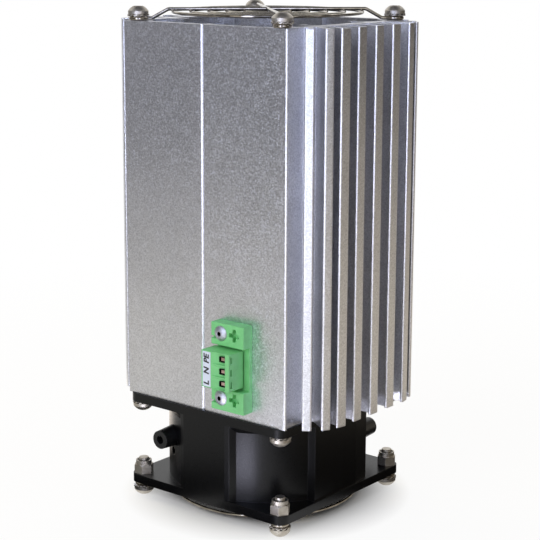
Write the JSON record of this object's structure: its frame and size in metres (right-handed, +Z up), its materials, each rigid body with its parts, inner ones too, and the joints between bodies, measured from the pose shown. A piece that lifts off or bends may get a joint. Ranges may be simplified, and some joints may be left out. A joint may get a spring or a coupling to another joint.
{
  "type": "enclosure heater",
  "caption": "Fan heater for an electrical enclosure: finned two-part aluminium duct with heating elements, square axial fan below, wire guards and a plug-in terminal.",
  "frame": {"origin": "on the fan's axis, at the plane that the lowest screw heads stand on", "axes": "+Z up along the fan's axis, the front with the terminal faces -Y, the finned sides face +X and -X"},
  "size_m": [0.1086, 0.0922, 0.199],
  "materials": {
    "anodised_aluminium": "satin, finely blasted and anodised",
    "plain_aluminium": "mill finish",
    "heating_ceramic": "matt",
    "black_enamel": "satin black coating on a die-cast frame",
    "steel": "plain",
    "copper": "enamelled copper winding",
    "black_rubber": "matt",
    "chromed_wire": "bright plated wire",
    "green_plastic": "satin moulding",
    "tinned_brass": "tin plated",
    "pale_plastic": "satin",
    "nickel_plate": "nickel plated",
    "nylon": "natural nylon"
  },
  "bodies": {
    "heater": {"right_shell": "anodised_aluminium", "left_shell": "anodised_aluminium", "heater_sleeve_right": "plain_aluminium", "heater_sleeve_left": "plain_aluminium", "ptc_stones_right": "heating_ceramic", "ptc_stones_left": "heating_ceramic", "fan_frame": "black_enamel", "stator_core": "steel", "stator_coils": "copper", "fan_bearings": "steel", "front_bushing": "black_rubber", "rear_bushing": "black_rubber", "top_guard": "chromed_wire", "bottom_guard": "chromed_wire", "terminal_header": "green_plastic", "terminal_plug": "green_plastic", "terminal_contacts": "tinned_brass", "header_pins": "tinned_brass", "terminal_label": "pale_plastic", "terminal_screws": "nickel_plate", "top_screws": "nickel_plate", "top_lock_washers": "nickel_plate", "fan_screws": "nickel_plate", "fan_lock_washers": "nickel_plate", "bottom_screws": "nickel_plate", "bottom_lock_washers": "nickel_plate", "locknuts": "nickel_plate", "locknut_inserts": "nylon"},
    "rotor": {"fan_impeller": "black_enamel", "rotor_ring": "steel", "fan_shaft": "steel"}
  },
  "joints": [
    {"name": "fan_spin", "type": "hinge", "parent": "heater", "child": "rotor", "pos_m": [0, 0, 0.02], "axis": [0, 0, 1], "continuous": true}
  ]
}
